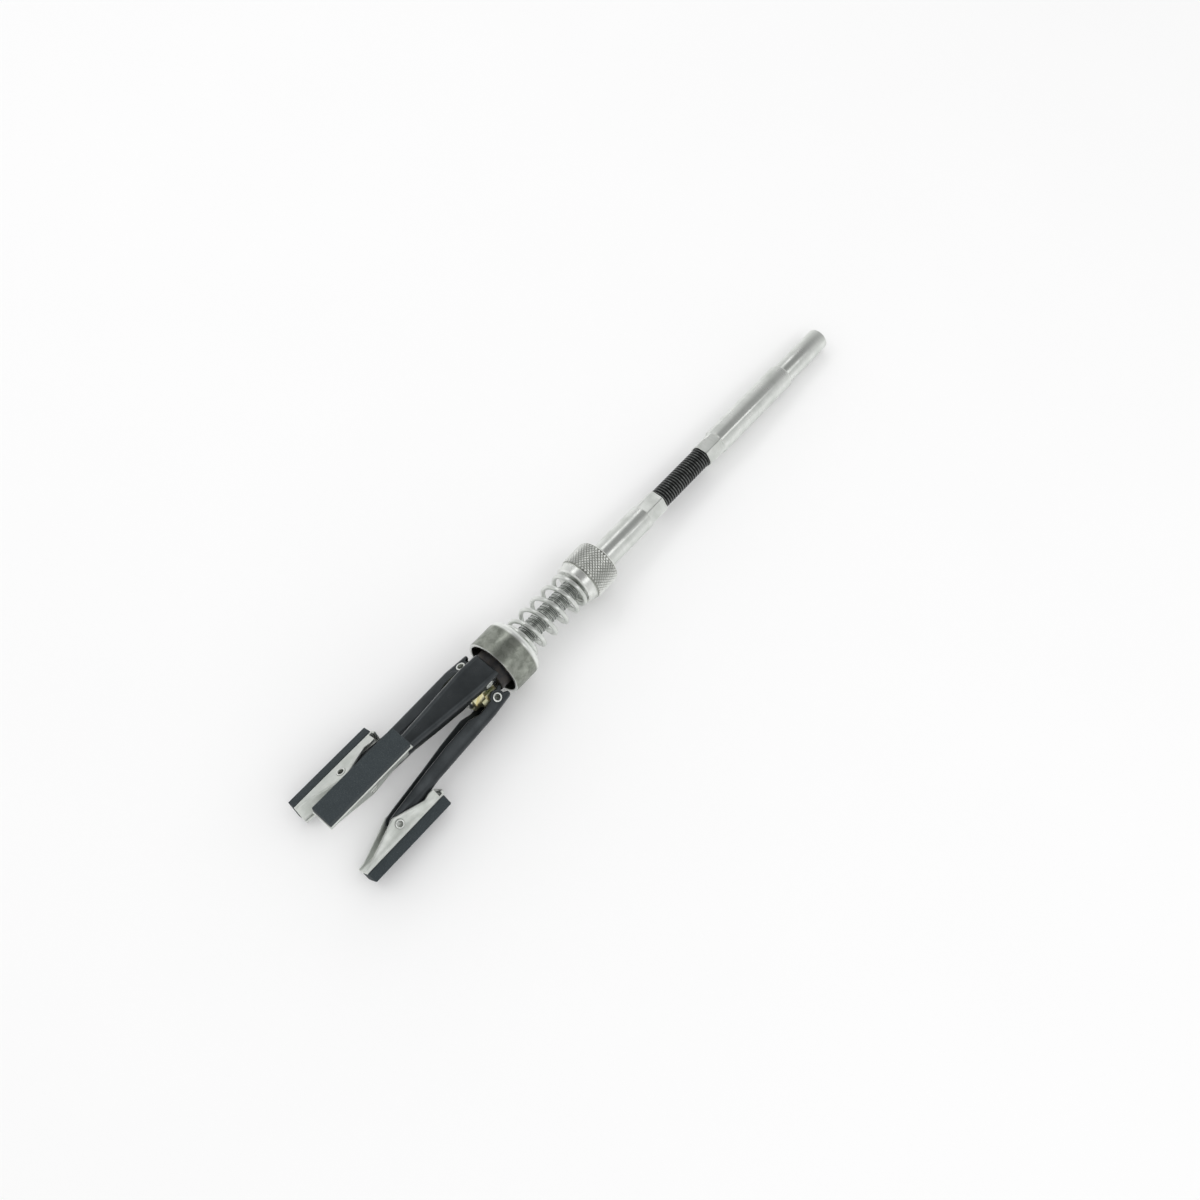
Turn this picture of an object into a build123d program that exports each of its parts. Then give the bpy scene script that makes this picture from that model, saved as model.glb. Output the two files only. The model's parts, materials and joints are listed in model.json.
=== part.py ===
from build123d import *
import os
from math import cos, radians, sin

# Small cylinder hone: three stones on swinging arms, turned through a flexible shaft.
# Millimetres. The tool's axis is X, the drive shank's end face is at x = 0 and the
# tool runs towards -X. +Z points up through the first arm.

# Clearances
seat_gap = 0.05
pin_clearance = 0.05
side_clearance = 0.12
slide_clearance = 0.08
contact_gap = 0.3

# Drive shank and its ferrule, one turned piece
shank_radius = 3.5
shank_length = 20.0
shank_chamfer = 0.6
ferrule_radius = 4.0
ferrule_length = 41.0
ferrule_chamfer = 0.4
crimp_length = 7.0
crimp_across = 6.9
crimp_sides = 6
crimp_turn = 51.5

# Flexible shaft, a close wound coil held in two blind sockets
coil_wire = 0.95
coil_radius = 3.25
coil_free_length = 21.0
socket_depth = 7.0

# Spindle: round body crimped on the coil, then a rod that runs through to the hub
spindle_body_length = 26.2
spindle_chamfer = 0.7
rod_radius = 3.0
rivet_radius = 3.7
rivet_length = 1.0

# Knurled adjusting nut
nut_radius = 7.3
nut_length = 12.0
nut_chamfer = 0.7
nut_band_radius = 6.5
nut_band_length = 2.8

# Compression spring
spring_outer_radius = 6.2
spring_wire = 1.35
spring_length = 23.9
spring_turns = 4.9
spring_facets = 6

# Pressed cup, and the sleeve inside it that bears on the arms
cup_radius = 9.05
cup_length = 10.2
cup_sheet = 0.9
cup_shoulder = 1.8
cup_shoulder_steps = 4
cup_rim_to_pivot = 5.8
sleeve_collar_radius = 6.8
sleeve_collar_length = 1.6

# Hub with three lugs
arm_count = 3
pivot_radius = 5.5
hub_core_radius = 4.15
hub_core_top = 1.8
hub_collar_radius = 4.9
hub_collar_start = 2.5
hub_collar_end = 6.0
lug_width = 6.4
lug_round = 1.75
lug_foot = 4.0

# Tubular pins
hub_pin_radius = 1.35
stone_pin_radius = 1.3
pin_wall = 0.45
pin_stand_out = 0.12

# Arms, each bent from sheet into a channel that tapers to the tip
arm_sheet = 0.9
arm_reach = 43.1
arm_splay = 7.0
arm_corner = 1.5
arm_back_at_hub = 3.05
arm_back_at_tip = 1.9
arm_tip_half = 2.35
arm_taper_start = 4.0
arm_taper_end = 27.0
arm_lobe_radius = 2.15
arm_heel_height = 3.4
arm_heel_start = 1.3
arm_heel_round = 1.6
arm_depth = 2.55
arm_depth_at_waist = 2.1
arm_tip_depth = 2.4
arm_tip_overrun = 2.15
arm_web_setback = 2.2
recess_depth = 0.83
recess_end = 6.6
waist_at = 9.9
full_depth_at = 19.0
toe_reach = 2.75
toe_angle = 125.6
toe_round = 0.55

# Stone holders
holder_sheet = 0.8
holder_half = 3.3
holder_bend = 0.6
holder_back = 3.35
holder_apex = 2.5
holder_apex_round = 1.2
holder_flank = 12.7
holder_flank_edge = 0.05
holder_flank_rise = 0.4
holder_lip_reach = 14.5
holder_lip_depth = 1.55
holder_lip_round = 1.2
holder_foot = 15.0
holder_foot_start = 13.0
holder_foot_depth = 1.2

# Stones
stone_length = 28.6
stone_width = 6.35
stone_thickness = 3.2
stone_chamfer = 0.3
stone_shift = 0.5

# Stations, measured from the shank's end face down the tool
ferrule_end_at = shank_length + ferrule_length
spindle_top_at = ferrule_end_at + coil_free_length
rod_top_at = spindle_top_at + spindle_body_length
nut_top_at = rod_top_at + contact_gap
nut_end_at = nut_top_at + nut_length
spring_top_at = nut_end_at + seat_gap
spring_end_at = spring_top_at + spring_length
cup_top_at = spring_end_at + seat_gap
cup_rim_at = cup_top_at + cup_length
pivot_at = cup_rim_at + cup_rim_to_pivot
hub_end_at = pivot_at + hub_collar_end

# Widths and places that follow from what fits inside what
socket_radius = coil_radius + seat_gap / 2
rod_bore = rod_radius + slide_clearance
arm_inner_half = lug_width / 2 + side_clearance
arm_outer_half = arm_inner_half + arm_sheet
holder_inner_half = holder_half - holder_sheet
toe_height = toe_reach * sin(radians(toe_angle)) + toe_round
toe_inset = pivot_radius + toe_reach * cos(radians(toe_angle))
sleeve_end_at = pivot_at - toe_height - contact_gap
sleeve_radius = (toe_inset ** 2 + arm_outer_half ** 2) ** 0.5 + seat_gap
stone_pin_at = pivot_at + arm_reach * cos(radians(arm_splay))
stone_pivot_radius = pivot_radius + arm_reach * sin(radians(arm_splay))


def turned(outline):
    """Solid of revolution about the tool's axis from (station, radius) points."""
    points = [(-station, 0, radius) for station, radius in outline]
    return revolve(make_face(Polyline(points, close=True)), Axis.X)


def around(shape, number):
    """A shape made at the top, turned to its place among the arms."""
    return Rot(X=360 / arm_count * number) * shape


def at_hub_pin(shape, number):
    return around(Pos(-pivot_at, 0, pivot_radius) * shape, number)


def at_stone_pin(shape, number):
    return around(Pos(-stone_pin_at, 0, stone_pivot_radius) * shape, number)


def side_view(outline):
    """Face in the plane of the axis from (along, outward) points, along pointing to the stones."""
    points = [(-along, outward) for along, outward in outline]
    return make_face(Polyline(points, close=True))


def rounded(face, corner, radius):
    """Round the corner of a side view that lies at an (along, outward) point."""
    place = Vector(-corner[0], corner[1])
    nearest = min(face.vertices(), key=lambda vertex: (Vector(vertex) - place).length)
    return fillet(nearest, radius)


def through(face, half_width):
    """A side view given its width across the tool."""
    return extrude(Plane.XZ * face, half_width, both=True)


def crimp(station):
    """What is pressed away where a round end is crimped to a hexagon on the coil."""
    hexagon = Rot(Z=crimp_turn) * RegularPolygon(crimp_across / 2, crimp_sides, major_radius=False)
    ring = Plane.YZ.offset(-station) * (Circle(2 * ferrule_radius) - hexagon)
    return extrude(ring, -crimp_length)


def cross_pin(radius, half_length):
    """Tubular pin across the tool."""
    return through(Circle(radius) - Circle(radius - pin_wall), half_length)


def drive_shank():
    body = turned([
        (0, 0),
        (0, shank_radius - shank_chamfer),
        (shank_chamfer, shank_radius),
        (shank_length, shank_radius),
        (shank_length, ferrule_radius - ferrule_chamfer),
        (shank_length + ferrule_chamfer, ferrule_radius),
        (ferrule_end_at, ferrule_radius),
        (ferrule_end_at, socket_radius),
        (ferrule_end_at - socket_depth, socket_radius),
        (ferrule_end_at - socket_depth, 0),
    ])
    return body - crimp(ferrule_end_at - crimp_length)


def flex_coil():
    """Close wound coil as a plain tube, its ends inside the two sockets."""
    top = ferrule_end_at - socket_depth + seat_gap
    end = spindle_top_at + socket_depth - seat_gap
    return turned([
        (top, coil_radius - coil_wire),
        (top, coil_radius),
        (end, coil_radius),
        (end, coil_radius - coil_wire),
    ])


def spindle():
    body = turned([
        (spindle_top_at + socket_depth, 0),
        (spindle_top_at + socket_depth, socket_radius),
        (spindle_top_at, socket_radius),
        (spindle_top_at, ferrule_radius - ferrule_chamfer),
        (spindle_top_at + ferrule_chamfer, ferrule_radius),
        (rod_top_at - spindle_chamfer, ferrule_radius),
        (rod_top_at, ferrule_radius - spindle_chamfer),
        (rod_top_at, rod_radius),
        (hub_end_at, rod_radius),
        (hub_end_at, rivet_radius),
        (hub_end_at + rivet_length / 2, rivet_radius),
        (hub_end_at + rivet_length, rod_radius),
        (hub_end_at + rivet_length, 0),
    ])
    return body - crimp(spindle_top_at)


def adjusting_nut():
    return turned([
        (nut_top_at, rod_bore),
        (nut_top_at, nut_radius - nut_chamfer),
        (nut_top_at + nut_chamfer, nut_radius),
        (nut_end_at - nut_band_length, nut_radius),
        (nut_end_at - nut_band_length, nut_band_radius),
        (nut_end_at - nut_chamfer, nut_band_radius),
        (nut_end_at, nut_band_radius - nut_chamfer),
        (nut_end_at, rod_bore),
    ])


def tension_spring():
    """Open wound spring, its wire's centre line a helix between the two seats."""
    height = spring_length - spring_wire
    path = Helix(pitch=height / spring_turns, height=height, radius=spring_outer_radius - spring_wire / 2)
    section = Plane(path @ 0, z_dir=path % 0) * RegularPolygon(spring_wire / 2, spring_facets)
    wire = sweep(section, path, is_frenet=True)
    return Pos(-spring_end_at + spring_wire / 2, 0, 0) * Rot(Y=90) * wire


def pressure_cup():
    """Pressed cup, its shoulder rounded in a few straight steps."""
    wall = cup_radius - cup_sheet
    outline = [(cup_top_at, rod_bore)]
    for step in range(cup_shoulder_steps + 1):
        turn = radians(90 * step / cup_shoulder_steps)
        along = cup_top_at + cup_shoulder * (1 - cos(turn))
        outline.append((along, cup_radius - cup_shoulder * (1 - sin(turn))))
    outline.append((cup_rim_at, cup_radius))
    outline.append((cup_rim_at, wall))
    outline.append((cup_top_at + cup_sheet, wall))
    outline.append((cup_top_at + cup_sheet, rod_bore))
    return turned(outline)


def thrust_sleeve():
    top = cup_top_at + cup_sheet
    return turned([
        (top, rod_bore),
        (top, sleeve_collar_radius),
        (top + sleeve_collar_length, sleeve_collar_radius),
        (top + sleeve_collar_length, sleeve_radius),
        (sleeve_end_at, sleeve_radius),
        (sleeve_end_at, rod_bore),
    ])


def hub():
    core = turned([
        (pivot_at - hub_core_top, rod_radius + seat_gap),
        (pivot_at - hub_core_top, hub_core_radius),
        (pivot_at + hub_collar_start, hub_core_radius),
        (pivot_at + hub_collar_start, hub_collar_radius),
        (hub_end_at, hub_collar_radius),
        (hub_end_at, rod_radius + seat_gap),
    ])
    root = rod_radius + seat_gap - pivot_radius
    lug_face = side_view([
        (-lug_round, root),
        (-lug_round, 0),
        (0, lug_round),
        (lug_foot, 0),
        (lug_foot, root),
    ]) + Circle(lug_round)
    lug = through(lug_face - Circle(hub_pin_radius + pin_clearance), lug_width / 2)
    bore = Cylinder(rod_radius + seat_gap, 4 * pivot_radius, rotation=(0, 90, 0))
    body = core
    for number in range(arm_count):
        body += at_hub_pin(lug, number)
    return body - Pos(-pivot_at, 0, 0) * bore


def channel(inset):
    """Long block that narrows and thins towards the tip, its back rounded on the outside."""
    slices = []
    for along, half, back in (
        (-arm_heel_height - arm_sheet, arm_outer_half, arm_back_at_hub),
        (arm_taper_start, arm_outer_half, arm_back_at_hub),
        (arm_taper_end, arm_tip_half, arm_back_at_tip),
        (arm_reach + 2 * arm_tip_overrun, arm_tip_half, arm_back_at_tip),
    ):
        height = back + 2 * arm_depth
        slab = Pos(0, back - inset - height / 2) * Rectangle(2 * (half - inset), height)
        if inset == 0:
            slab = fillet(slab.vertices().group_by(Axis.Y)[-1], arm_corner)
        slices.append(Plane.YZ.offset(-along) * slab)
    return loft(slices, ruled=True)


def arm_outline():
    """Side view of an arm, its pin at the origin and its tip at the stone's pin."""
    above_back = arm_back_at_hub + arm_sheet
    tip = arm_reach + arm_tip_overrun
    outline = side_view([
        (-arm_heel_height, arm_heel_start),
        (-arm_heel_height, arm_back_at_hub),
        (arm_taper_start - arm_lobe_radius, above_back),
        (tip, above_back),
        (tip, -arm_tip_depth),
        (arm_reach - arm_tip_overrun, -arm_depth),
        (full_depth_at, -arm_depth),
        (waist_at, -arm_depth_at_waist),
        (recess_end, -recess_depth),
        (0, -recess_depth),
        (-arm_lobe_radius / 2, 0),
    ])
    outline = rounded(outline, (-arm_heel_height, arm_back_at_hub), arm_heel_round)
    outline = rounded(outline, (recess_end, -recess_depth), arm_lobe_radius)
    outline = rounded(outline, (waist_at, -arm_depth_at_waist), arm_lobe_radius)
    outline = rounded(outline, (tip, -arm_tip_depth), 0.9 * arm_tip_overrun)
    outline = rounded(outline, (tip, above_back), arm_tip_overrun + arm_sheet)
    toe = Rectangle(toe_reach + toe_round, 2 * toe_round, align=(Align.MIN, Align.CENTER))
    toe = fillet(toe.vertices().group_by(Axis.X)[-1], 0.9 * toe_round)
    return outline + Circle(arm_lobe_radius) + Rot(Z=90 - toe_angle + arm_splay) * toe


def arm(number):
    """Bent sheet arm: side view cut through a channel, then hollowed from within."""
    body = (channel(0) & through(arm_outline(), 2 * arm_outer_half)) - channel(arm_sheet)
    window = Box(2 * arm_tip_depth + arm_web_setback, 2 * (arm_tip_half - arm_sheet), 4 * arm_back_at_tip)
    body -= Pos(-arm_reach - arm_tip_depth + arm_web_setback / 2, 0, arm_back_at_tip) * window
    body -= through(Circle(hub_pin_radius + pin_clearance), 2 * arm_outer_half)
    body -= Pos(-arm_reach, 0, 0) * through(Circle(stone_pin_radius + pin_clearance), 2 * arm_tip_half)
    return at_hub_pin(Rot(Y=arm_splay) * body, number)


def stone_holder(number):
    """Bent sheet holder: two flanks on the stone's back, with a turned down lip at the top."""
    back = holder_back
    floor = back - holder_sheet
    flank = side_view([
        (-holder_flank, back),
        (-holder_flank, -holder_flank_edge),
        (-holder_flank + 2 * holder_sheet, -2 * holder_flank_edge),
        (-holder_flank + 4.5 * holder_sheet, holder_flank_rise),
        (-holder_sheet, -holder_apex + holder_sheet / 2),
        (holder_sheet / 2, -holder_apex),
        (holder_foot_start, floor - holder_foot_depth / 2),
        (holder_foot, back - holder_foot_depth),
        (holder_foot, back),
    ])
    flank = rounded(flank, (-holder_flank, -holder_flank_edge), holder_sheet / 2)
    flank = rounded(flank, (holder_sheet / 2, -holder_apex), holder_apex_round)
    lip = side_view([
        (-holder_flank, back),
        (-holder_flank, floor),
        (-holder_lip_reach + holder_sheet, floor),
        (-holder_lip_reach + holder_sheet, back - holder_lip_depth),
        (-holder_lip_reach, back - holder_lip_depth),
        (-holder_lip_reach, back),
    ])
    lip = rounded(lip, (-holder_lip_reach, back), holder_lip_round)
    hole = Circle(stone_pin_radius + pin_clearance)
    bar_height = back + 2 * holder_apex
    bar = Pos(0, back - bar_height / 2) * Rectangle(2 * holder_half, bar_height)
    bar = fillet(bar.vertices().group_by(Axis.Y)[-1], holder_bend)
    blank = through(flank + lip - hole, holder_half) & extrude(Plane.YZ * bar, 2 * holder_foot, both=True)
    hollow_length = holder_lip_reach - holder_sheet + 2 * holder_foot
    hollow_height = floor + 2 * holder_apex
    hollow = Box(hollow_length, 2 * holder_inner_half, hollow_height)
    hollow_at = (holder_lip_reach - holder_sheet - hollow_length / 2, 0, floor - hollow_height / 2)
    return at_stone_pin(blank - Pos(*hollow_at) * hollow, number)


def stone(number):
    block = Box(stone_length, stone_width, stone_thickness)
    block = chamfer(block.faces().sort_by(Axis.Z)[-1].edges(), stone_chamfer)
    return at_stone_pin(Pos(-stone_shift, 0, holder_back + stone_thickness / 2) * block, number)


def hub_pin(number):
    return at_hub_pin(cross_pin(hub_pin_radius, arm_outer_half + pin_stand_out), number)


def stone_pin(number):
    return at_stone_pin(cross_pin(stone_pin_radius, holder_half + pin_stand_out), number)


pieces = {
    "drive_shank": drive_shank(),
    "flex_coil": flex_coil(),
    "spindle": spindle(),
    "adjusting_nut": adjusting_nut(),
    "tension_spring": tension_spring(),
    "pressure_cup": pressure_cup(),
    "thrust_sleeve": thrust_sleeve(),
    "hub": hub(),
}
for number, place in enumerate(("top", "near", "far")):
    pieces["hub_pin_" + place] = hub_pin(number)
    pieces["arm_" + place] = arm(number)
    pieces["stone_pin_" + place] = stone_pin(number)
    pieces["stone_holder_" + place] = stone_holder(number)
    pieces["stone_" + place] = stone(number)

os.makedirs("parts", exist_ok=True)
for name, solid in pieces.items():
    export_step(solid, "parts/" + name + ".step")
print("hub pins at", round(pivot_at, 2), "stone pins at", round(stone_pin_at, 2), round(stone_pivot_radius, 2))
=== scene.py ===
import json
from math import atan2, cos, pi, radians, sin, tau

import bmesh
import bpy
from mathutils import Matrix, Vector

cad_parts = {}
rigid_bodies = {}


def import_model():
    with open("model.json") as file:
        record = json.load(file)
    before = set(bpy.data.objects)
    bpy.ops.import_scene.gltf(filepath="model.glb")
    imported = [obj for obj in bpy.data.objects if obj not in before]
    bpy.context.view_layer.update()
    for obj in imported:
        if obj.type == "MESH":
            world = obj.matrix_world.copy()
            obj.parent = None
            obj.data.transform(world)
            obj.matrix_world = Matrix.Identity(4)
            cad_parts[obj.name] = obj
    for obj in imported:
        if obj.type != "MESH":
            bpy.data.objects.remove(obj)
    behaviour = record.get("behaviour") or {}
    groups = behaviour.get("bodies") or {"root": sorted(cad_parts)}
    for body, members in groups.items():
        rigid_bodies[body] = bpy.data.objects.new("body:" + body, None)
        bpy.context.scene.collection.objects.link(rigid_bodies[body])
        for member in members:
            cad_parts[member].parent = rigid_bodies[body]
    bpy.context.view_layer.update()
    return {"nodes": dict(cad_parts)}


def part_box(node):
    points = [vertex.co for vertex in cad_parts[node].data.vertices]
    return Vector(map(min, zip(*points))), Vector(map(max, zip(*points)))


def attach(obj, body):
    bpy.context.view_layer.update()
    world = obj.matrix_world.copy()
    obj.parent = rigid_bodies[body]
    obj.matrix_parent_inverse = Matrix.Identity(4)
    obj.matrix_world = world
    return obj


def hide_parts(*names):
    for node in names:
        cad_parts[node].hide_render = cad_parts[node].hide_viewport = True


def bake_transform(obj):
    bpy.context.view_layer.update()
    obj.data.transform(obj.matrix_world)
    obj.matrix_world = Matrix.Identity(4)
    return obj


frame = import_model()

mm = 0.001
weld = 0.002  # points nearer than this, in mm, become one
closeBy = 0.02  # how near a point has to be to count as on its place
nodes = frame["nodes"]
places = ("top", "near", "far")


# small helpers for picking, drawing and finishing

def deselectAll():
    if bpy.context.object and bpy.context.object.mode != "OBJECT":
        bpy.ops.object.mode_set(mode="OBJECT")
    bpy.ops.object.select_all(action="DESELECT")


def pick(piece):
    deselectAll()
    piece.select_set(True)
    bpy.context.view_layer.objects.active = piece


def editOn(piece):
    pick(piece)
    bpy.ops.object.mode_set(mode="EDIT")
    bpy.ops.mesh.select_mode(type="VERT")


def editOff():
    bpy.ops.object.mode_set(mode="OBJECT")


def selectAll():
    bpy.ops.mesh.select_all(action="SELECT")


def selectVerts(piece, test):
    bpy.ops.mesh.select_mode(type="VERT")
    bpy.ops.mesh.select_all(action="DESELECT")
    mesh = bmesh.from_edit_mesh(piece.data)
    for vert in mesh.verts:
        if test(vert.co):
            vert.select_set(True)
    mesh.select_flush_mode()
    bmesh.update_edit_mesh(piece.data)


def selectFaces(piece, test):
    bpy.ops.mesh.select_mode(type="FACE")
    bpy.ops.mesh.select_all(action="DESELECT")
    mesh = bmesh.from_edit_mesh(piece.data)
    for face in mesh.faces:
        if test(face.calc_center_median()):
            face.select_set(True)
    mesh.select_flush_mode()
    bmesh.update_edit_mesh(piece.data)


def startPoint(name, station, radius):  # one point in edit mode, to draw an outline from
    deselectAll()
    bpy.ops.mesh.primitive_plane_add(size=mm)
    piece = bpy.context.object
    piece.name = name
    editOn(piece)
    selectAll()
    bpy.ops.mesh.merge(type="CENTER")
    bpy.ops.transform.translate(value=(-station * mm, 0, radius * mm))
    return piece


def drawOn(along, outward):  # mm down the tool and mm away from its axis
    bpy.ops.mesh.extrude_region_move(TRANSFORM_OT_translate={"value": (-along * mm, 0, outward * mm)})


def closeSkin():
    selectAll()
    bpy.ops.mesh.remove_doubles(threshold=weld * mm)
    bpy.ops.mesh.normals_make_consistent(inside=False)


def turnProfile(name, profile, steps):  # profile: (station down the tool, radius) in mm
    station, radius = profile[0]
    piece = startPoint(name, station, radius)
    for nextStation, nextRadius in profile[1:]:
        drawOn(nextStation - station, nextRadius - radius)
        station, radius = nextStation, nextRadius
    selectAll()
    bpy.ops.mesh.spin(steps=steps, angle=tau, center=(0, 0, 0), axis=(1, 0, 0))
    closeSkin()
    editOff()
    return piece


def turnAll(degrees):  # all that is in edit mode, right-handed about the tool's axis
    selectAll()
    bpy.ops.transform.rotate(value=-radians(degrees), orient_axis="X", center_override=(0, 0, 0))


def closeEnds(piece):
    editOn(piece)
    selectAll()
    bpy.ops.mesh.fill_holes(sides=0)
    editOff()


def smoothBy(piece, angle):
    pick(piece)
    bpy.ops.object.shade_smooth_by_angle(angle=radians(angle))


def arcPoints(station, radius, size, start, end, count):  # rounded corner in a turned profile
    points = []
    for step in range(count + 1):
        turn = radians(start + (end - start) * step / count)
        points.append((station - size * cos(turn), radius + size * sin(turn)))
    return points


def dress(piece, slot, material, body, *replaced):
    piece.data.materials.clear()
    piece.data.materials.append(material)
    if body:
        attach(piece, body)
    if replaced:
        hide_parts(*replaced)


# nodes, wired with plain words

class Wiring:
    def __init__(self, tree):
        self.tree = tree

    def add(self, kind, **values):
        node = self.tree.nodes.new(kind)
        for key, value in values.items():
            setattr(node, key, value)
        return node

    def link(self, out, into):
        self.tree.links.new(out, into)

    def remap(self, value, low, high, outLow, outHigh):
        node = self.add("ShaderNodeMapRange")
        for key, number in (("From Min", low), ("From Max", high), ("To Min", outLow), ("To Max", outHigh)):
            node.inputs[key].default_value = number
        self.link(value, node.inputs["Value"])
        return node.outputs["Result"]

    def combine(self, operation, first, second):
        node = self.add("ShaderNodeMath", operation=operation)
        self.link(first, node.inputs[0])
        self.link(second, node.inputs[1])
        return node.outputs[0]


class Painter(Wiring):  # one material
    def __init__(self, name, colour, metallic, roughness):
        self.material = bpy.data.materials.new(name)
        self.material.use_nodes = True
        super().__init__(self.material.node_tree)
        self.shader = self.tree.nodes["Principled BSDF"]
        self.shader.inputs["Base Color"].default_value = (*colour, 1)
        self.shader.inputs["Metallic"].default_value = metallic
        self.shader.inputs["Roughness"].default_value = roughness
        self.place = self.add("ShaderNodeTexCoord").outputs["Object"]
        self.normal = None

    def noise(self, size, stretch=(1, 1, 1), detail=3, rough=0.5, distort=0):  # size in mm
        spread = self.add("ShaderNodeMapping")
        spread.inputs["Scale"].default_value = stretch
        self.link(self.place, spread.inputs["Vector"])
        node = self.add("ShaderNodeTexNoise")
        node.inputs["Scale"].default_value = 1 / (size * mm)
        node.inputs["Detail"].default_value = detail
        node.inputs["Roughness"].default_value = rough
        node.inputs["Distortion"].default_value = distort
        self.link(spread.outputs["Vector"], node.inputs["Vector"])
        return node.outputs["Fac"]

    def grains(self, size):  # distance from the nearest grain, size in mm
        node = self.add("ShaderNodeTexVoronoi", feature="F1")
        node.inputs["Scale"].default_value = 1 / (size * mm)
        self.link(self.place, node.inputs["Vector"])
        return node.outputs["Distance"]

    def along(self):  # place along the tool's axis
        parts = self.add("ShaderNodeSeparateXYZ")
        self.link(self.place, parts.inputs[0])
        return parts.outputs["X"]

    def fromAxis(self):  # distance from the tool's axis
        parts = self.add("ShaderNodeSeparateXYZ")
        self.link(self.place, parts.inputs[0])
        joined = self.add("ShaderNodeCombineXYZ")
        self.link(parts.outputs["Y"], joined.inputs["Y"])
        self.link(parts.outputs["Z"], joined.inputs["Z"])
        length = self.add("ShaderNodeVectorMath", operation="LENGTH")
        self.link(joined.outputs[0], length.inputs[0])
        return length.outputs["Value"]

    def past(self, value, start, end):  # 0 before the start and 1 after the end, both in mm
        return self.remap(value, start * mm, end * mm, 0, 1)

    def colours(self, value, *stops):  # stops: (place, colour)
        node = self.add("ShaderNodeValToRGB")
        ramp = node.color_ramp
        while len(ramp.elements) < len(stops):
            ramp.elements.new(0.5)
        for element, (place, colour) in zip(ramp.elements, stops):
            element.position = place
            element.color = (*colour, 1)
        self.link(value, node.inputs["Fac"])
        return node.outputs["Color"]

    def mix(self, amount, first, second):
        node = self.add("ShaderNodeMix", data_type="RGBA", blend_type="MIX")
        for socket, value in ((node.inputs[0], amount), (node.inputs[6], first), (node.inputs[7], second)):
            if isinstance(value, tuple):
                socket.default_value = (*value, 1)
            else:
                self.link(value, socket)
        return node.outputs[2]

    def relief(self, height, depth):  # depth in mm
        node = self.add("ShaderNodeBump")
        node.inputs["Strength"].default_value = 1
        node.inputs["Distance"].default_value = depth * mm
        self.link(height, node.inputs["Height"])
        if self.normal:
            self.link(self.normal, node.inputs["Normal"])
        self.normal = node.outputs["Normal"]
        self.link(self.normal, self.shader.inputs["Normal"])

    def colour(self, value):
        self.link(value, self.shader.inputs["Base Color"])

    def roughness(self, value, first, last, low=0.3, high=0.7):
        self.link(self.remap(value, low, high, first, last), self.shader.inputs["Roughness"])


# materials

def zincPlate():
    look = {"bright": (0.80, 0.82, 0.79), "dull": (0.66, 0.685, 0.65), "ring": (0.58, 0.6, 0.57),
            "blotch": 4.0, "marks": 0.35, "rings": 0.22, "ringDepth": 0.002, "grain": 0.5,
            "grainDepth": 0.0015}
    paint = Painter("zincPlate", look["bright"], 1, 0.3)
    blotches = paint.noise(look["blotch"], detail=5, rough=0.55)
    rings = paint.noise(look["marks"], stretch=(1, 0.02, 0.02), detail=4)
    tint = paint.colours(blotches, (0.32, look["dull"]), (0.62, look["bright"]))
    paint.colour(paint.mix(paint.remap(rings, 0.4, 0.7, 0, look["rings"]), tint, look["ring"]))
    paint.roughness(blotches, 0.36, 0.26)
    paint.relief(rings, look["ringDepth"])
    paint.relief(paint.noise(look["grain"], detail=4), look["grainDepth"])
    return paint.material


def threadSteel():  # bright crests, with painted shade lying dark in the roots
    look = {"crest": (0.66, 0.69, 0.66), "worn": (0.42, 0.44, 0.42), "root": (0.07, 0.075, 0.07),
            "paintedShadeTo": 2.74, "crestFrom": 2.96, "blotch": 1.6, "grain": 0.3, "grainDepth": 0.002}
    paint = Painter("threadSteel", look["crest"], 1, 0.3)
    blotches = paint.noise(look["blotch"], detail=5, rough=0.6)
    crest = paint.colours(blotches, (0.35, look["worn"]), (0.65, look["crest"]))
    outOfPaintedShade = paint.past(paint.fromAxis(), look["paintedShadeTo"], look["crestFrom"])
    # the thread's roots are painted dark as shade, the crests stay light
    paint.colour(paint.mix(outOfPaintedShade, look["root"], crest))
    paint.roughness(blotches, 0.42, 0.24)
    paint.relief(paint.noise(look["grain"], detail=3), look["grainDepth"])
    return paint.material


def knurledZinc():  # the same plate, with painted shade lying dark at the foot of the knurl
    look = {"bright": (0.85, 0.865, 0.835), "dull": (0.71, 0.725, 0.695), "paintedGrooveShade": (0.34, 0.35, 0.32),
            "foot": 6.84, "grooveShadeFrom": 6.9, "grooveShadeTo": 7.0, "blotch": 2.0, "grain": 0.4,
            "grainDepth": 0.004}
    paint = Painter("knurledZinc", look["bright"], 1, 0.3)
    blotches = paint.noise(look["blotch"], detail=5, rough=0.6)
    tint = paint.colours(blotches, (0.3, look["dull"]), (0.62, look["bright"]))
    depth = paint.fromAxis()
    low = paint.past(depth, look["grooveShadeTo"], look["grooveShadeFrom"])
    knurl = paint.past(depth, look["foot"], look["foot"] + 0.02)
    # painted shade in the grooves at the foot of the knurl
    paint.colour(paint.mix(paint.combine("MULTIPLY", low, knurl), tint, look["paintedGrooveShade"]))
    paint.roughness(blotches, 0.38, 0.24)
    paint.relief(paint.noise(look["grain"], detail=4), look["grainDepth"])
    return paint.material


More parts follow.
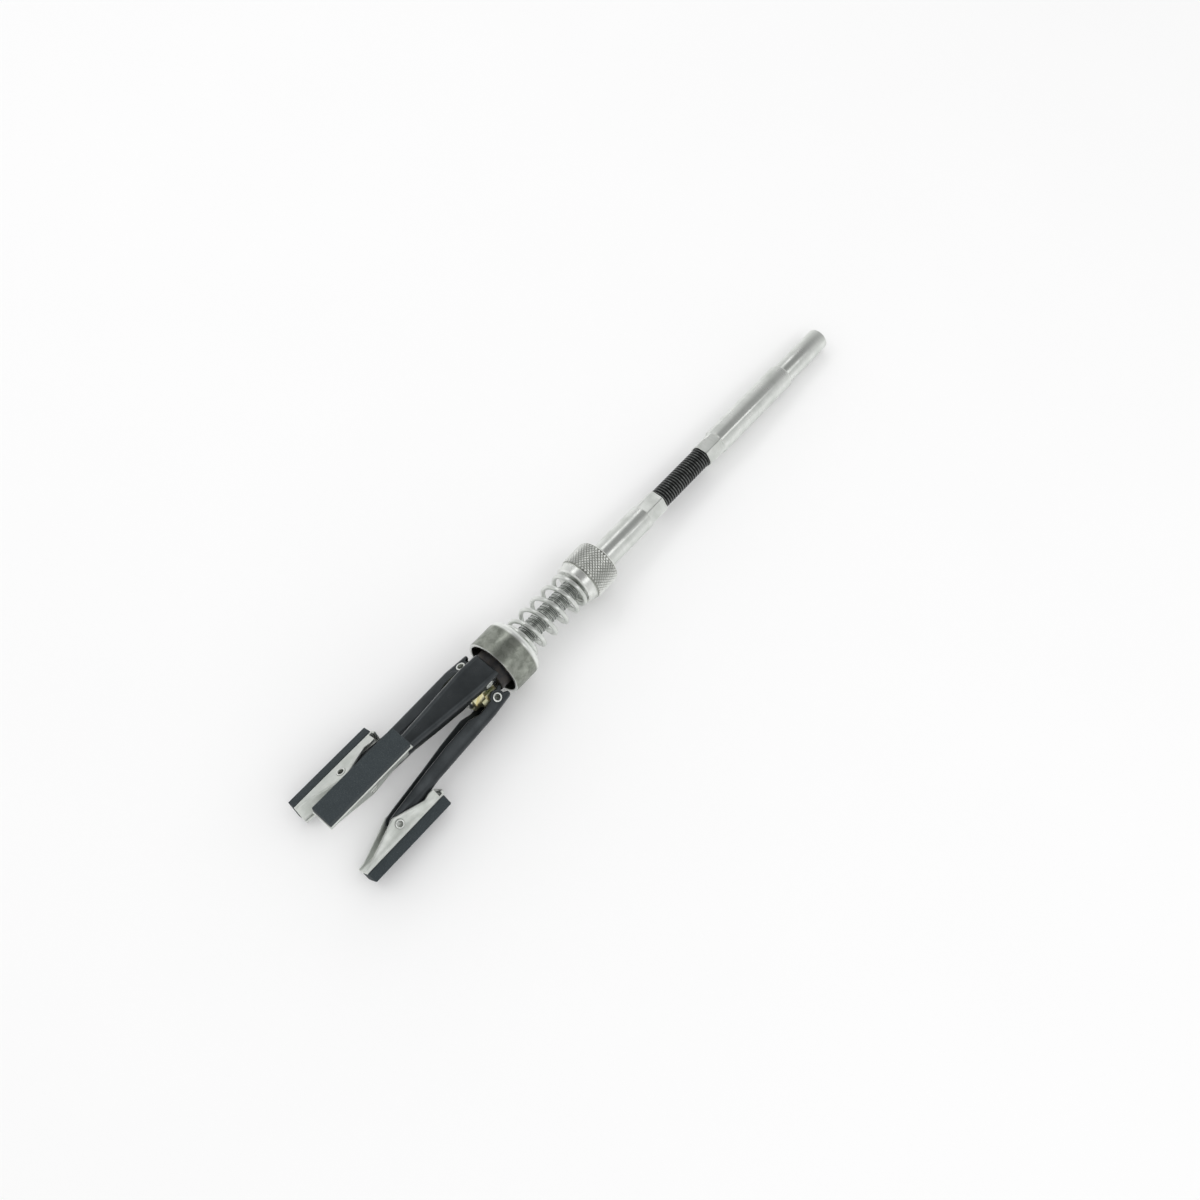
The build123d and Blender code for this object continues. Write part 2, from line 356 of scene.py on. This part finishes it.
def pressedZinc():
    look = {"light": (0.75, 0.775, 0.74), "dark": (0.64, 0.67, 0.63), "streak": (0.58, 0.6, 0.57),
            "blotch": 3.5, "drawn": 0.4, "streaks": 0.2, "drawnDepth": 0.004, "grain": 0.25,
            "grainDepth": 0.003}
    paint = Painter("pressedZinc", look["light"], 1, 0.36)
    blotches = paint.noise(look["blotch"], detail=5, rough=0.55)
    drawn = paint.noise(look["drawn"], stretch=(0.08, 1, 1), detail=4)
    tint = paint.colours(blotches, (0.34, look["dark"]), (0.6, look["light"]))
    paint.colour(paint.mix(paint.remap(drawn, 0.4, 0.65, 0, look["streaks"]), tint, look["streak"]))
    paint.roughness(blotches, 0.48, 0.36)
    paint.relief(drawn, look["drawnDepth"])
    paint.relief(paint.noise(look["grain"], detail=3), look["grainDepth"])
    return paint.material


def cupSteel():  # drawn cup: a painted highlight bright on its shoulder and rim, duller on the wall
    look = {"wall": (0.21, 0.225, 0.195), "cloud": (0.37, 0.39, 0.345), "bright": (0.84, 0.86, 0.83),
            "blotch": 2.6, "shoulderHighlightFrom": -146.9, "shoulderHighlightTo": -146.3, "rimHighlightFrom": -154.5, "rimHighlightTo": -154.65,
            "drawn": 0.4, "drawnDepth": 0.002}
    paint = Painter("cupSteel", look["wall"], 1, 0.34)
    blotches = paint.noise(look["blotch"], detail=6, rough=0.62, distort=0.4)
    wall = paint.colours(blotches, (0.36, look["wall"]), (0.64, look["cloud"]))
    place = paint.along()
    shoulder = paint.past(place, look["shoulderHighlightFrom"], look["shoulderHighlightTo"])
    rim = paint.past(place, look["rimHighlightFrom"], look["rimHighlightTo"])
    # a painted highlight on the shoulder and the rim
    paint.colour(paint.mix(paint.combine("MAXIMUM", shoulder, rim), wall, look["bright"]))
    paint.roughness(blotches, 0.42, 0.28)
    paint.relief(paint.noise(look["drawn"], stretch=(0.08, 1, 1), detail=4), look["drawnDepth"])
    return paint.material


def blackenedSteel():
    look = {"grey": (0.055, 0.062, 0.066), "dark": (0.034, 0.039, 0.042), "rub": (0.11, 0.12, 0.125),
            "blotch": 5.0, "grain": 0.2, "grainDepth": 0.003}
    paint = Painter("blackenedSteel", look["grey"], 0.75, 0.33)
    blotches = paint.noise(look["blotch"], detail=5, rough=0.5)
    fine = paint.noise(look["grain"], detail=3)
    tint = paint.colours(blotches, (0.3, look["dark"]), (0.68, look["grey"]))
    paint.colour(paint.mix(paint.remap(fine, 0.6, 0.8, 0, 0.3), tint, look["rub"]))
    paint.roughness(blotches, 0.34, 0.26)
    paint.relief(fine, look["grainDepth"])
    return paint.material


def blackCoil():  # black, with a painted highlight in grey on the outside of the turns
    look = {"black": (0.012, 0.013, 0.013), "worn": (0.26, 0.275, 0.265), "paintedSheenFrom": 3.17, "paintedSheenTo": 3.24,
            "blotch": 1.4, "grain": 0.15, "grainDepth": 0.0015}
    paint = Painter("blackCoil", look["black"], 0.6, 0.22)
    blotches = paint.noise(look["blotch"], detail=5, rough=0.6)
    sheenOutside = paint.past(paint.fromAxis(), look["paintedSheenFrom"], look["paintedSheenTo"])
    # a painted highlight on the outside of the turns, stronger or weaker at random
    worn = paint.combine("MULTIPLY", sheenOutside, paint.remap(blotches, 0.35, 0.65, 0.25, 0.9))
    paint.colour(paint.mix(worn, look["black"], look["worn"]))
    paint.roughness(blotches, 0.2, 0.34)
    paint.relief(paint.noise(look["grain"]), look["grainDepth"])
    return paint.material


def yellowZinc():
    look = {"pale": (0.86, 0.84, 0.6), "gold": (0.72, 0.62, 0.28), "green": (0.62, 0.68, 0.42),
            "stain": (0.62, 0.55, 0.3), "blotch": 3.0, "speck": 0.9, "speckDepth": 0.006}
    paint = Painter("yellowZinc", look["pale"], 1, 0.34)
    wide = paint.noise(look["blotch"], detail=4, distort=0.5)
    small = paint.noise(look["speck"], detail=5, rough=0.6)
    tint = paint.colours(wide, (0.32, look["gold"]), (0.5, look["pale"]), (0.68, look["green"]))
    paint.colour(paint.mix(paint.remap(small, 0.4, 0.7, 0, 0.35), tint, look["stain"]))
    paint.roughness(small, 0.28, 0.44)
    paint.relief(small, look["speckDepth"])
    return paint.material


def darkBush():
    look = {"dark": (0.028, 0.028, 0.03), "brown": (0.06, 0.052, 0.045), "blotch": 1.6, "grain": 0.3,
            "grainDepth": 0.005}
    paint = Painter("darkBush", look["dark"], 0.5, 0.45)
    blotches = paint.noise(look["blotch"], detail=5)
    paint.colour(paint.colours(blotches, (0.4, look["dark"]), (0.7, look["brown"])))
    paint.roughness(blotches, 0.36, 0.56)
    paint.relief(paint.noise(look["grain"]), look["grainDepth"])
    return paint.material


def gritStone():
    look = {"dark": (0.018, 0.025, 0.029), "grey": (0.044, 0.056, 0.061), "spark": (0.26, 0.3, 0.31),
            "grain": 0.24, "grainDepth": 0.03, "dust": 0.12, "dustDepth": 0.02, "cloud": 3.5}
    paint = Painter("gritStone", look["grey"], 0, 0.85)
    grain = paint.grains(look["grain"])
    fine = paint.noise(look["dust"], detail=2)
    clouds = paint.noise(look["cloud"], detail=4)
    tint = paint.colours(fine, (0.35, look["dark"]), (0.62, look["grey"]))
    tint = paint.mix(paint.remap(clouds, 0.35, 0.7, 0, 0.35), tint, look["grey"])
    paint.colour(paint.mix(paint.remap(grain, 0.16, 0.06, 0, 0.55), tint, look["spark"]))
    paint.roughness(grain, 0.6, 0.95, low=0.0, high=0.4)
    paint.relief(grain, look["grainDepth"])
    paint.relief(fine, look["dustDepth"])
    return paint.material


zinc = zincPlate()
threadFinish = threadSteel()
knurled = knurledZinc()
cupFinish = cupSteel()
pressed = pressedZinc()
blackened = blackenedSteel()
coilBlack = blackCoil()
yellow = yellowZinc()
bushDark = darkBush()
grit = gritStone()
print("materials ready")


# camera, as the photograph was taken, with places in mm

view = {"place": (-262.33, -66.83, 353.89), "forward": (0.37279, 0.15163, -0.91544),
        "up": (0.66712, 0.64193, 0.37799), "lens": 40.4, "sensor": 36, "nearest": 10, "roll": 6}
forward = Vector(view["forward"]).normalized()
side = forward.cross(Vector(view["up"])).normalized()
up = side.cross(forward)
cameraData = bpy.data.cameras.new("camera")
cameraData.lens = view["lens"]
cameraData.sensor_width = view["sensor"]
cameraData.clip_start = view["nearest"] * mm
camera = bpy.data.objects.new("camera", cameraData)
bpy.context.scene.collection.objects.link(camera)
stand = Matrix.Translation(Vector(view["place"]) * mm) @ Matrix((side, up, -forward)).transposed().to_4x4()
camera.matrix_world = Matrix.Rotation(radians(view["roll"]), 4, "X") @ stand
bpy.context.scene.camera = camera
print("camera placed")


# hexagon crimps that hold the coil, on the shank's ferrule and on the spindle

crimp = {"sides": 6, "across": 6.9, "turned": 51.5}


def crimpEnd(piece, fromStation, toStation):
    half = crimp["across"] / 2 * mm
    editOn(piece)
    turnAll(-crimp["turned"])
    for number in range(crimp["sides"]):
        selectVerts(piece, lambda at: -toStation * mm <= at.x <= -fromStation * mm and at.z > half)
        bpy.ops.transform.resize(value=(1, 1, 0), center_override=(0, 0, half))
        turnAll(360 / crimp["sides"])
    turnAll(crimp["turned"])
    editOff()


# drive shank with its ferrule

shank = {"radius": 3.5, "shoulder": 20, "ferrule": 4.0, "ferruleEnd": 61, "crimpFrom": 54, "bore": 3.28,
         "steps": 96}
radius, ferrule, bore = shank["radius"], shank["ferrule"], shank["bore"]
shoulder, crimpFrom, ferruleEnd = shank["shoulder"], shank["crimpFrom"], shank["ferruleEnd"]
shankPiece = turnProfile("driveShank", [
    (0, 0), (0, radius - 0.75), (0.12, radius - 0.58), (0.6, radius - 0.05), (0.8, radius),
    (shoulder - 0.1, radius), (shoulder, radius - 0.05), (shoulder, radius + 0.05),
    (shoulder + 0.12, ferrule - 0.2), (shoulder + 0.4, ferrule - 0.02), (shoulder + 0.6, ferrule),
    (crimpFrom - 0.2, ferrule), (crimpFrom + 0.05, ferrule), (crimpFrom + 3.5, ferrule),
    (ferruleEnd - 0.25, ferrule), (ferruleEnd - 0.05, ferrule - 0.08), (ferruleEnd, ferrule - 0.2),
    (ferruleEnd, bore + 0.12), (ferruleEnd - 0.2, bore + 0.02), (crimpFrom + 0.2, bore), (crimpFrom + 0.2, 0),
], shank["steps"])
crimpEnd(shankPiece, crimpFrom, ferruleEnd + 0.1)
smoothBy(shankPiece, 28)
dress(shankPiece, "zinc_steel", zinc, "shank", "drive_shank")
print("drive shank made")


# spindle with its rod and the rivet at the rod's end

spindle = {"start": 82, "crimpEnd": 89, "body": 4.0, "bodyEnd": 108.2, "bore": 3.28, "rod": 3.0, "root": 2.7,
           "threadFrom": 109.1, "threadEnd": 150, "rivet": 3.7, "rivetFrom": 166.5, "end": 167.5, "steps": 96}
start, crimpTo, bodyEnd, end = spindle["start"], spindle["crimpEnd"], spindle["bodyEnd"], spindle["end"]
body, bore, rod, root, rivet = (spindle[part] for part in ("body", "bore", "rod", "root", "rivet"))
threadFrom, threadEnd, rivetFrom = spindle["threadFrom"], spindle["threadEnd"], spindle["rivetFrom"]
spindlePiece = turnProfile("spindleBody", [
    (crimpTo - 0.2, 0), (crimpTo - 0.2, bore), (start + 0.2, bore + 0.02), (start, bore + 0.12),
    (start, body - 0.2), (start + 0.05, body - 0.08), (start + 0.25, body), (start + 3.5, body),
    (crimpTo - 0.05, body), (crimpTo + 0.2, body), (bodyEnd - 0.9, body), (bodyEnd - 0.65, body - 0.05),
    (bodyEnd - 0.1, body - 0.6), (bodyEnd, rod + 0.25), (bodyEnd, rod),
    (threadFrom - 0.3, rod), (threadFrom, root), (threadEnd, root), (threadEnd + 0.3, rod),
    (rivetFrom, rod), (rivetFrom, rivet - 0.15), (rivetFrom + 0.12, rivet), (rivetFrom + 0.45, rivet),
    (end - 0.2, rivet - 0.35), (end, rivet - 0.8), (end, 0),
], spindle["steps"])
crimpEnd(spindlePiece, start - 0.1, crimpTo)
smoothBy(spindlePiece, 28)
dress(spindlePiece, "zinc_steel", zinc, "head", "spindle")

# the rod's thread, one tooth's outline run round the rod from the cup's end back to the nut
thread = {"crest": 3.0, "root": 2.68, "pitch": 1.0, "end": 146, "turns": 37, "foot": 0.06, "flank": 0.36,
          "top": 0.16, "steps": 40}
foot, flank, rise = thread["foot"], thread["flank"], thread["crest"] - thread["root"]
threadPiece = startPoint("rodThread", thread["end"], thread["root"])
for along, outward in ((foot, 0), (flank, rise), (thread["top"], 0), (flank, -rise), (foot, 0)):
    drawOn(along * thread["pitch"], outward)
selectAll()
bpy.ops.mesh.screw(steps=thread["steps"], turns=thread["turns"], center=(0, 0, 0), axis=(1, 0, 0))
closeSkin()
for first in (thread["end"] - thread["turns"], thread["end"]):  # the tooth's outline at both ends
    low, high = (first - closeBy) * mm, (first + thread["pitch"] + closeBy) * mm
    selectVerts(threadPiece, lambda at: at.z > 0 and abs(at.y) < closeBy * mm and low < -at.x < high)
    bpy.ops.mesh.edge_face_add()
editOff()
closeEnds(threadPiece)
smoothBy(threadPiece, 25)
dress(threadPiece, "zinc_steel", threadFinish, "head")
print("spindle and thread made")


# wound wire, for the coil and the spring

def windWire(name, wire, start, pitches, fill):  # a round wire wound about the tool's axis
    steps = wire["steps"]
    deselectAll()
    bpy.ops.mesh.primitive_circle_add(
        vertices=wire["sides"], radius=wire["wire"] / 2 * mm, fill_type=fill, rotation=(pi / 2, 0, 0),
        location=(-start * mm, 0, (wire["outer"] - wire["wire"] / 2) * mm))
    piece = bpy.context.object
    piece.name = name
    bpy.ops.object.transform_apply(location=True, rotation=True, scale=True)
    editOn(piece)
    selectAll()
    for pitch in pitches:
        drawOn(pitch / steps, 0)
        bpy.ops.transform.rotate(value=tau / steps, orient_axis="X", center_override=(0, 0, 0))
    selectAll()
    bpy.ops.mesh.normals_make_consistent(inside=False)
    editOff()
    return piece


def cutWire(piece, station, turns, pitch, name):  # cut square across, where the wire has made so many turns
    def beyond(at):
        along = (-at.x / mm - station) / pitch
        turned = (atan2(at.y, at.z) / tau - turns + 0.5) % 1 - 0.5
        return turned + round(along - turned) > 0

    before = set(bpy.data.objects)
    editOn(piece)
    selectFaces(piece, beyond)
    bpy.ops.mesh.separate(type="SELECTED")
    editOff()
    other = (set(bpy.data.objects) - before).pop()
    other.name = name
    closeEnds(piece)
    closeEnds(other)
    return other


# flexible coil, one turn wound and then repeated

coil = {"outer": 3.25, "wire": 0.97, "turns": 27, "pitch": 0.955, "from": 58.5, "bendAt": 71.5, "steps": 32,
        "sides": 10}
coilPiece = windWire("flexCoilUpper", coil, coil["from"], [coil["pitch"]] * coil["steps"], "NOTHING")
pick(coilPiece)
repeat = coilPiece.modifiers.new("turns", "ARRAY")
repeat.count = coil["turns"]
repeat.use_relative_offset = False
repeat.use_constant_offset = True
repeat.constant_offset_displace = (-coil["pitch"] * mm, 0, 0)
repeat.use_merge_vertices = True
repeat.merge_threshold = weld * mm
bpy.ops.object.modifier_apply(modifier=repeat.name)
coilTurns = (coil["bendAt"] - coil["from"]) / coil["pitch"]
coilLower = cutWire(coilPiece, coil["bendAt"], coilTurns, coil["pitch"], "flexCoilLower")
for piece in (coilPiece, coilLower):
    smoothBy(piece, 60)
    dress(piece, "black_steel", coilBlack, None, "flex_coil")
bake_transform(coilPiece)
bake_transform(coilLower)
print("flexible coil wound")


# adjusting nut with its diamond knurl

nut = {"root": 6.88, "peak": 7.3, "top": 108.5, "knurlFrom": 109.2, "knurlTo": 117.5, "rows": 14,
       "columns": 80, "band": 6.5, "end": 120.5, "bore": 3.08}
top, end, root, band, bore = (nut[part] for part in ("top", "end", "root", "band", "bore"))
knurlFrom, knurlTo, rows = nut["knurlFrom"], nut["knurlTo"], nut["rows"]
rowStep = (knurlTo - knurlFrom) / rows
knurlRows = [(knurlFrom + row * rowStep, root) for row in range(rows + 1)]
nutPiece = turnProfile("adjustingNut", [
    (top, bore), (top, root - 0.78), (top + 0.05, root - 0.58), (top + 0.35, root - 0.18), *knurlRows,
    (knurlTo + 0.2, root + 0.02), (knurlTo + 0.28, band + 0.2), (knurlTo + 0.3, band + 0.05),
    (knurlTo + 0.45, band), (end - 0.65, band), (end - 0.45, band - 0.08), (end - 0.1, band - 0.45),
    (end, band - 0.65), (end, bore), (top, bore),
], nut["columns"])


def knurlPlace(at):  # row and column of a point on the knurl, or None
    row = (-at.x / mm - knurlFrom) / rowStep
    if abs(row - round(row)) > closeBy or not -0.1 < row < rows + 0.1:
        return None
    if (at.y ** 2 + at.z ** 2) ** 0.5 < (nut["root"] - closeBy) * mm:
        return None
    return round(row), round(atan2(at.y, at.z) / tau * nut["columns"])


def inGroove(at):
    spot = knurlPlace(at)
    return spot is not None and sum(spot) % 2 == 0


def onPeak(at):
    spot = knurlPlace(at)
    return spot is not None and sum(spot) % 2 == 1 and 0 < spot[0] < rows


editOn(nutPiece)
selectVerts(nutPiece, inGroove)
bpy.ops.mesh.vert_connect()
selectVerts(nutPiece, onPeak)
grow = nut["peak"] / nut["root"]
bpy.ops.transform.resize(value=(1, grow, grow), center_override=(0, 0, 0))
editOff()
smoothBy(nutPiece, 24)
dress(nutPiece, "zinc_steel", knurled, "nut", "adjusting_nut")
print("nut knurled")


# compression spring with closed ends

spring = {"outer": 6.2, "wire": 1.35, "from": 120.57, "to": 144.43, "openPitch": 4.75, "closedPitch": 1.4,
          "closedTurns": 0.5, "easeTurns": 0.4, "footAt": 138, "turned": 196, "steps": 36, "sides": 14}
easeHeight = spring["easeTurns"] * (spring["closedPitch"] + spring["openPitch"]) / 2
endHeight = spring["closedTurns"] * spring["closedPitch"] + easeHeight
wireHeight = spring["to"] - spring["from"] - spring["wire"]
openTurns = (wireHeight - 2 * endHeight) / spring["openPitch"]
endTurns = spring["closedTurns"] + spring["easeTurns"]
allTurns = openTurns + 2 * endTurns
springSteps = round(allTurns * spring["steps"])


def pitchAt(turn):
    fromEnd = min(turn, allTurns - turn) - spring["closedTurns"]
    share = min(max(fromEnd / spring["easeTurns"], 0), 1)
    return spring["closedPitch"] + share * (spring["openPitch"] - spring["closedPitch"])


pitches = [pitchAt((step + 0.5) / spring["steps"]) for step in range(springSteps)]
wireFrom = spring["from"] + spring["wire"] / 2
springPiece = windWire("tensionSpring", spring, wireFrom, pitches, "NGON")
footTurns = endTurns + (spring["footAt"] - wireFrom - endHeight) / spring["openPitch"]
springFoot = cutWire(springPiece, spring["footAt"], footTurns, spring["openPitch"], "tensionSpringFoot")
for piece in (springPiece, springFoot):
    editOn(piece)
    turnAll(spring["turned"])
    editOff()
    smoothBy(piece, 50)
    dress(piece, "zinc_steel", zinc, None, "tension_spring")
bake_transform(springPiece)
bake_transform(springFoot)
print("spring wound", round(allTurns, 2), "turns")


# pressed cup

cup = {"radius": 9.05, "top": 144.5, "rim": 154.7, "sheet": 0.9, "shoulder": 1.9, "flat": 6.6, "bore": 3.1,
       "steps": 120}
top, rim, flat, bore = cup["top"], cup["rim"], cup["flat"], cup["bore"]
wall, inside, floorAt = cup["radius"], cup["radius"] - cup["sheet"], top + cup["sheet"]
bend = (top + cup["shoulder"], wall - cup["shoulder"])
cupPiece = turnProfile("pressureCup", [
    (top + 0.25, bore), (top + 0.05, bore + 0.15), (top, bore + 0.4), (top, flat),
    *arcPoints(*bend, cup["shoulder"], 8, 90, 10),
    (rim - 0.2, wall), (rim - 0.06, wall - 0.06), (rim, wall - 0.2),
    (rim, inside + 0.15), (rim - 0.1, inside),
    *arcPoints(*bend, cup["shoulder"] - cup["sheet"], 90, 8, 6),
    (floorAt, flat), (floorAt, bore), (top + 0.25, bore),
], cup["steps"])
smoothBy(cupPiece, 26)
dress(cupPiece, "pressed_steel", cupFinish, "cup", "pressure_cup")

# dark sleeve in the cup, as long as the solid's
sleeve = {"top": 145.42, "collar": 6.78, "collarEnd": 147, "radius": 5.8, "bore": 3.1, "steps": 96}
sleeveLow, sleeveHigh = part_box("thrust_sleeve")
top, end, collarEnd = sleeve["top"], -sleeveLow.x / mm, sleeve["collarEnd"]
collar, radius, bore = sleeve["collar"], sleeve["radius"], sleeve["bore"]
sleevePiece = turnProfile("thrustSleeve", [
    (top, bore), (top, collar - 0.18), (top + 0.18, collar), (collarEnd - 0.15, collar),
    (collarEnd, collar - 0.13), (collarEnd, radius + 0.15), (collarEnd + 0.15, radius), (end - 0.4, radius),
    (end - 0.1, radius - 0.1), (end, radius - 0.3), (end, bore + 0.3), (end - 0.3, bore), (top, bore),
], sleeve["steps"])
smoothBy(sleevePiece, 28)
dress(sleevePiece, "dark_bush", bushDark, "cup", "thrust_sleeve")
print("cup and sleeve made")


# hub, arms, holders, stones and pins: the solids with their edges softened, widths in mm

soft = {"hub": 0.12, "arm": 0.09, "holder": 0.1, "stone": 0.12, "pin": 0.08, "segments": 2, "flat": 1.0,
        "sharp": 35, "smooth": 40}


def softenNode(nodeName, pieceName, width):
    source = nodes[nodeName]
    piece = source.copy()
    piece.data = source.data.copy()
    piece.name = pieceName
    bpy.context.scene.collection.objects.link(piece)
    piece.parent = None
    piece.matrix_world = Matrix.Identity(4)
    piece.hide_set(False)
    piece.hide_render = False
    editOn(piece)
    selectAll()
    bpy.ops.mesh.remove_doubles(threshold=weld * mm)
    bpy.ops.mesh.dissolve_limited(angle_limit=radians(soft["flat"]))
    editOff()
    bevel = piece.modifiers.new("softEdges", "BEVEL")
    bevel.width = width * mm
    bevel.segments = soft["segments"]
    bevel.limit_method = "ANGLE"
    bevel.angle_limit = radians(soft["sharp"])
    bevel.use_clamp_overlap = False
    bevel.harden_normals = False
    bpy.ops.object.modifier_apply(modifier=bevel.name)
    smoothBy(piece, soft["smooth"])
    return piece


hubPiece = softenNode("hub", "hubBody", soft["hub"])
dress(hubPiece, "yellow_zinc", yellow, "head", "hub")
for place in places:
    label = place.capitalize()
    arm = softenNode("arm_" + place, "arm" + label, soft["arm"])
    dress(arm, "blued_steel", blackened, "arm_body_" + place, "arm_" + place)
    holder = softenNode("stone_holder_" + place, "holder" + label, soft["holder"])
    dress(holder, "pressed_steel", pressed, "holder_body_" + place, "stone_holder_" + place)
    stone = softenNode("stone_" + place, "stone" + label, soft["stone"])
    dress(stone, "abrasive", grit, "holder_body_" + place, "stone_" + place)
    hubPin = softenNode("hub_pin_" + place, "hubPin" + label, soft["pin"])
    dress(hubPin, "zinc_steel", zinc, "head", "hub_pin_" + place)
    stonePin = softenNode("stone_pin_" + place, "stonePin" + label, soft["pin"])
    dress(stonePin, "zinc_steel", zinc, "arm_body_" + place, "stone_pin_" + place)
print("arms, holders and stones dressed")


# plain pale floor, tilted a little against the tool

floor = {"height": -3.5, "slope": 0.0417, "size": 3.0, "light": (0.95, 0.95, 0.95),
         "dull": (0.944, 0.944, 0.944), "cloud": 60}
floorMiddle = (0, 0, floor["height"] * mm)
deselectAll()
bpy.ops.mesh.primitive_plane_add(size=floor["size"], location=floorMiddle)
floorPiece = bpy.context.object
floorPiece.name = "paleFloor"
bpy.ops.object.transform_apply(location=True, rotation=True, scale=True)
editOn(floorPiece)
selectAll()
bpy.ops.transform.rotate(value=atan2(floor["slope"], 1), orient_axis="Y", center_override=floorMiddle)
editOff()
floorPaint = Painter("paleFloor", floor["light"], 0, 0.9)
floorClouds = floorPaint.noise(floor["cloud"], detail=2)
floorPaint.colour(floorPaint.colours(floorClouds, (0.3, floor["dull"]), (0.7, floor["light"])))
floorPiece.data.materials.append(floorPaint.material)


# world: white where it is seen, greyer straight above where it is mirrored, and plain light for all else

sky = {"plain": 0.875, "low": 0.95, "high": 0.36, "lowTo": 0.3, "highFrom": 0.85}
world = bpy.data.worlds.new("softStudio")
bpy.context.scene.world = world
world.use_nodes = True
studio = Wiring(world.node_tree)
plain = studio.tree.nodes["Background"]
mirrored = studio.add("ShaderNodeBackground")
seen = studio.add("ShaderNodeBackground")
for light in (plain, seen):
    light.inputs["Color"].default_value = (1, 1, 1, 1)
plain.inputs["Strength"].default_value = sky["plain"]
direction = studio.add("ShaderNodeTexCoord")
height = studio.add("ShaderNodeSeparateXYZ")
studio.link(direction.outputs["Generated"], height.inputs[0])
shade = studio.remap(height.outputs["Z"], sky["lowTo"], sky["highFrom"], sky["low"], sky["high"])
studio.link(shade, mirrored.inputs["Strength"])


def chooseLight(ray, otherwise, light):
    node = studio.add("ShaderNodeMixShader")
    studio.link(ray, node.inputs[0])
    studio.link(otherwise.outputs[0], node.inputs[1])
    studio.link(light.outputs[0], node.inputs[2])
    return node


rays = studio.add("ShaderNodeLightPath").outputs
mirrorRay = studio.combine("MAXIMUM", rays["Is Glossy Ray"], rays["Is Transmission Ray"])
unseen = chooseLight(mirrorRay, plain, mirrored)
whole = chooseLight(rays["Is Camera Ray"], unseen, seen)
studio.link(whole.outputs[0], studio.tree.nodes["World Output"].inputs["Surface"])


# two long soft boxes, one each side of the tool

softBox = {"along": -0.12, "aside": 0.42, "up": 0.55, "width": 0.22, "length": 0.8, "power": 0.6}
middle = Vector((softBox["along"], 0, 0))
across = Vector((1, 0, 0))
for name, aside in (("softBoxLeft", softBox["aside"]), ("softBoxRight", -softBox["aside"])):
    light = bpy.data.lights.new(name, "AREA")
    light.shape = "RECTANGLE"
    light.size = softBox["length"]
    light.size_y = softBox["width"]
    light.energy = softBox["power"]
    box = bpy.data.objects.new(name, light)
    bpy.context.scene.collection.objects.link(box)
    place = Vector((softBox["along"], aside, softBox["up"]))
    back = (place - middle).normalized()
    facing = Matrix((across, back.cross(across), back)).transposed().to_4x4()
    box.matrix_world = Matrix.Translation(place) @ facing
bpy.context.scene.view_settings.view_transform = "Standard"
print("floor and lamps placed")

deselectAll()
